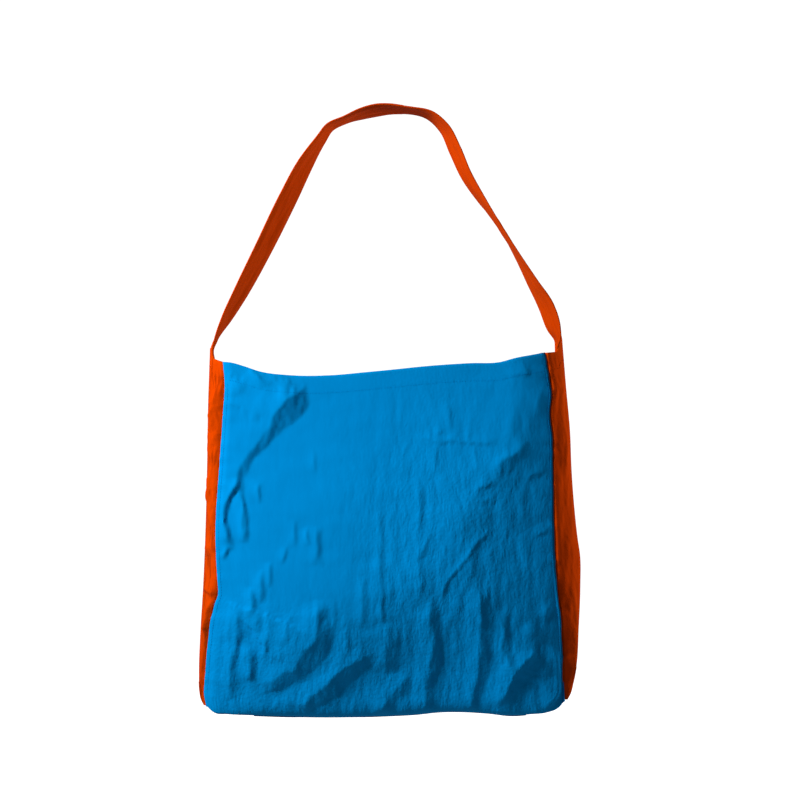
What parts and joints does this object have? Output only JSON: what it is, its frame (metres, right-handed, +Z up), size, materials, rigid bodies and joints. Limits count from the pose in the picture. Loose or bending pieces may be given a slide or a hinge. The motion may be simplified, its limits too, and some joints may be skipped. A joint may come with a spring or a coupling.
{
  "type": "cloth shoulder bag",
  "caption": "Thin crinkled cloth bag with flat panels, side gussets and one long shoulder strap, hung by its strap.",
  "frame": {"origin": "on the underside of the strap at its highest point, where the peg or shoulder that carries the bag touches it", "axes": "+Z up, along the bag's height; +X to the right across the mouth, seen from the front; the front panel faces -Y, across the bag's depth"},
  "size_m": [0.401, 0.087, 0.6403],
  "materials": {
    "panel_cloth": "crinkled nylon, slight sheen",
    "strip_cloth": "crinkled nylon, slight sheen",
    "panel_thread": "matt sewing thread",
    "strip_thread": "matt sewing thread",
    "binding_tape": "matt woven tape"
  },
  "bodies": {
    "strap": {"left_strap": "strip_cloth", "right_strap": "strip_cloth", "shoulder_join_stitches": "strip_thread", "left_strap_edge_stitches": "strip_thread", "right_strap_edge_stitches": "strip_thread", "left_strap_tacks": "strip_thread", "right_strap_tacks": "strip_thread"},
    "sides": {"left_gusset": "strip_cloth", "right_gusset": "strip_cloth", "left_gusset_hem": "strip_cloth", "right_gusset_hem": "strip_cloth", "left_gusset_hem_stitches": "strip_thread", "right_gusset_hem_stitches": "strip_thread", "bottom_seam_binding": "binding_tape"},
    "front": {"front_panel": "panel_cloth", "front_hem_facing": "panel_cloth", "front_hem_stitches": "panel_thread", "front_left_seam_binding": "binding_tape", "front_right_seam_binding": "binding_tape", "front_left_seam_stitches": "panel_thread", "front_right_seam_stitches": "panel_thread"},
    "back": {"back_panel": "panel_cloth", "back_hem_facing": "panel_cloth", "back_hem_stitches": "panel_thread", "back_left_seam_binding": "binding_tape", "back_right_seam_binding": "binding_tape", "back_left_seam_stitches": "panel_thread", "back_right_seam_stitches": "panel_thread"}
  },
  "joints": [
    {"name": "strap_swing", "type": "hinge", "parent": "strap", "child": "sides", "pos_m": [0, 0, -0.242], "axis": [1, 0, 0], "range_deg": [-90, 90]},
    {"name": "front_open", "type": "hinge", "parent": "sides", "child": "front", "pos_m": [0, 0, -0.636], "axis": [1, 0, 0], "range_deg": [-3.2, 2.4]},
    {"name": "back_open", "type": "hinge", "parent": "sides", "child": "back", "pos_m": [0, 0, -0.636], "axis": [-1, 0, 0], "range_deg": [-3.2, 2.4]}
  ]
}
